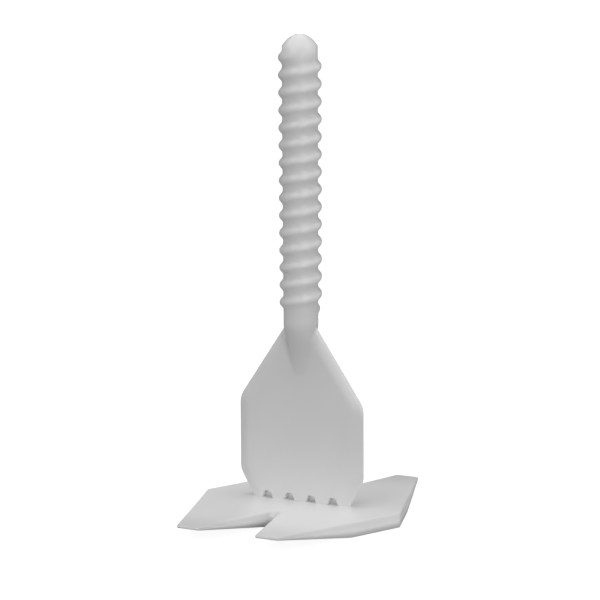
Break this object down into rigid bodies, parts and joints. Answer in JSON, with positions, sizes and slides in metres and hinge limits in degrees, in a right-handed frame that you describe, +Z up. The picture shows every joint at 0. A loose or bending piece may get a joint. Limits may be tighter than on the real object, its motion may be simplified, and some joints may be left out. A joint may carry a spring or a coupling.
{
  "type": "tile levelling clip",
  "caption": "One-piece moulded clip with a thin joint web, a coarse threaded stem above it and a flat forked base plate that goes under the tiles.",
  "frame": {"origin": "centre of the base plate's flat underside", "axes": "+Z up along the threaded stem, +X along the web's width, +Y across the web, towards the fingers under one of the tiles"},
  "size_m": [0.0382, 0.0516, 0.0836],
  "materials": {
    "moulded_plastic": "satin, as moulded"
  },
  "bodies": {
    "root": {"levelling_clip": "moulded_plastic"}
  },
  "joints": []
}
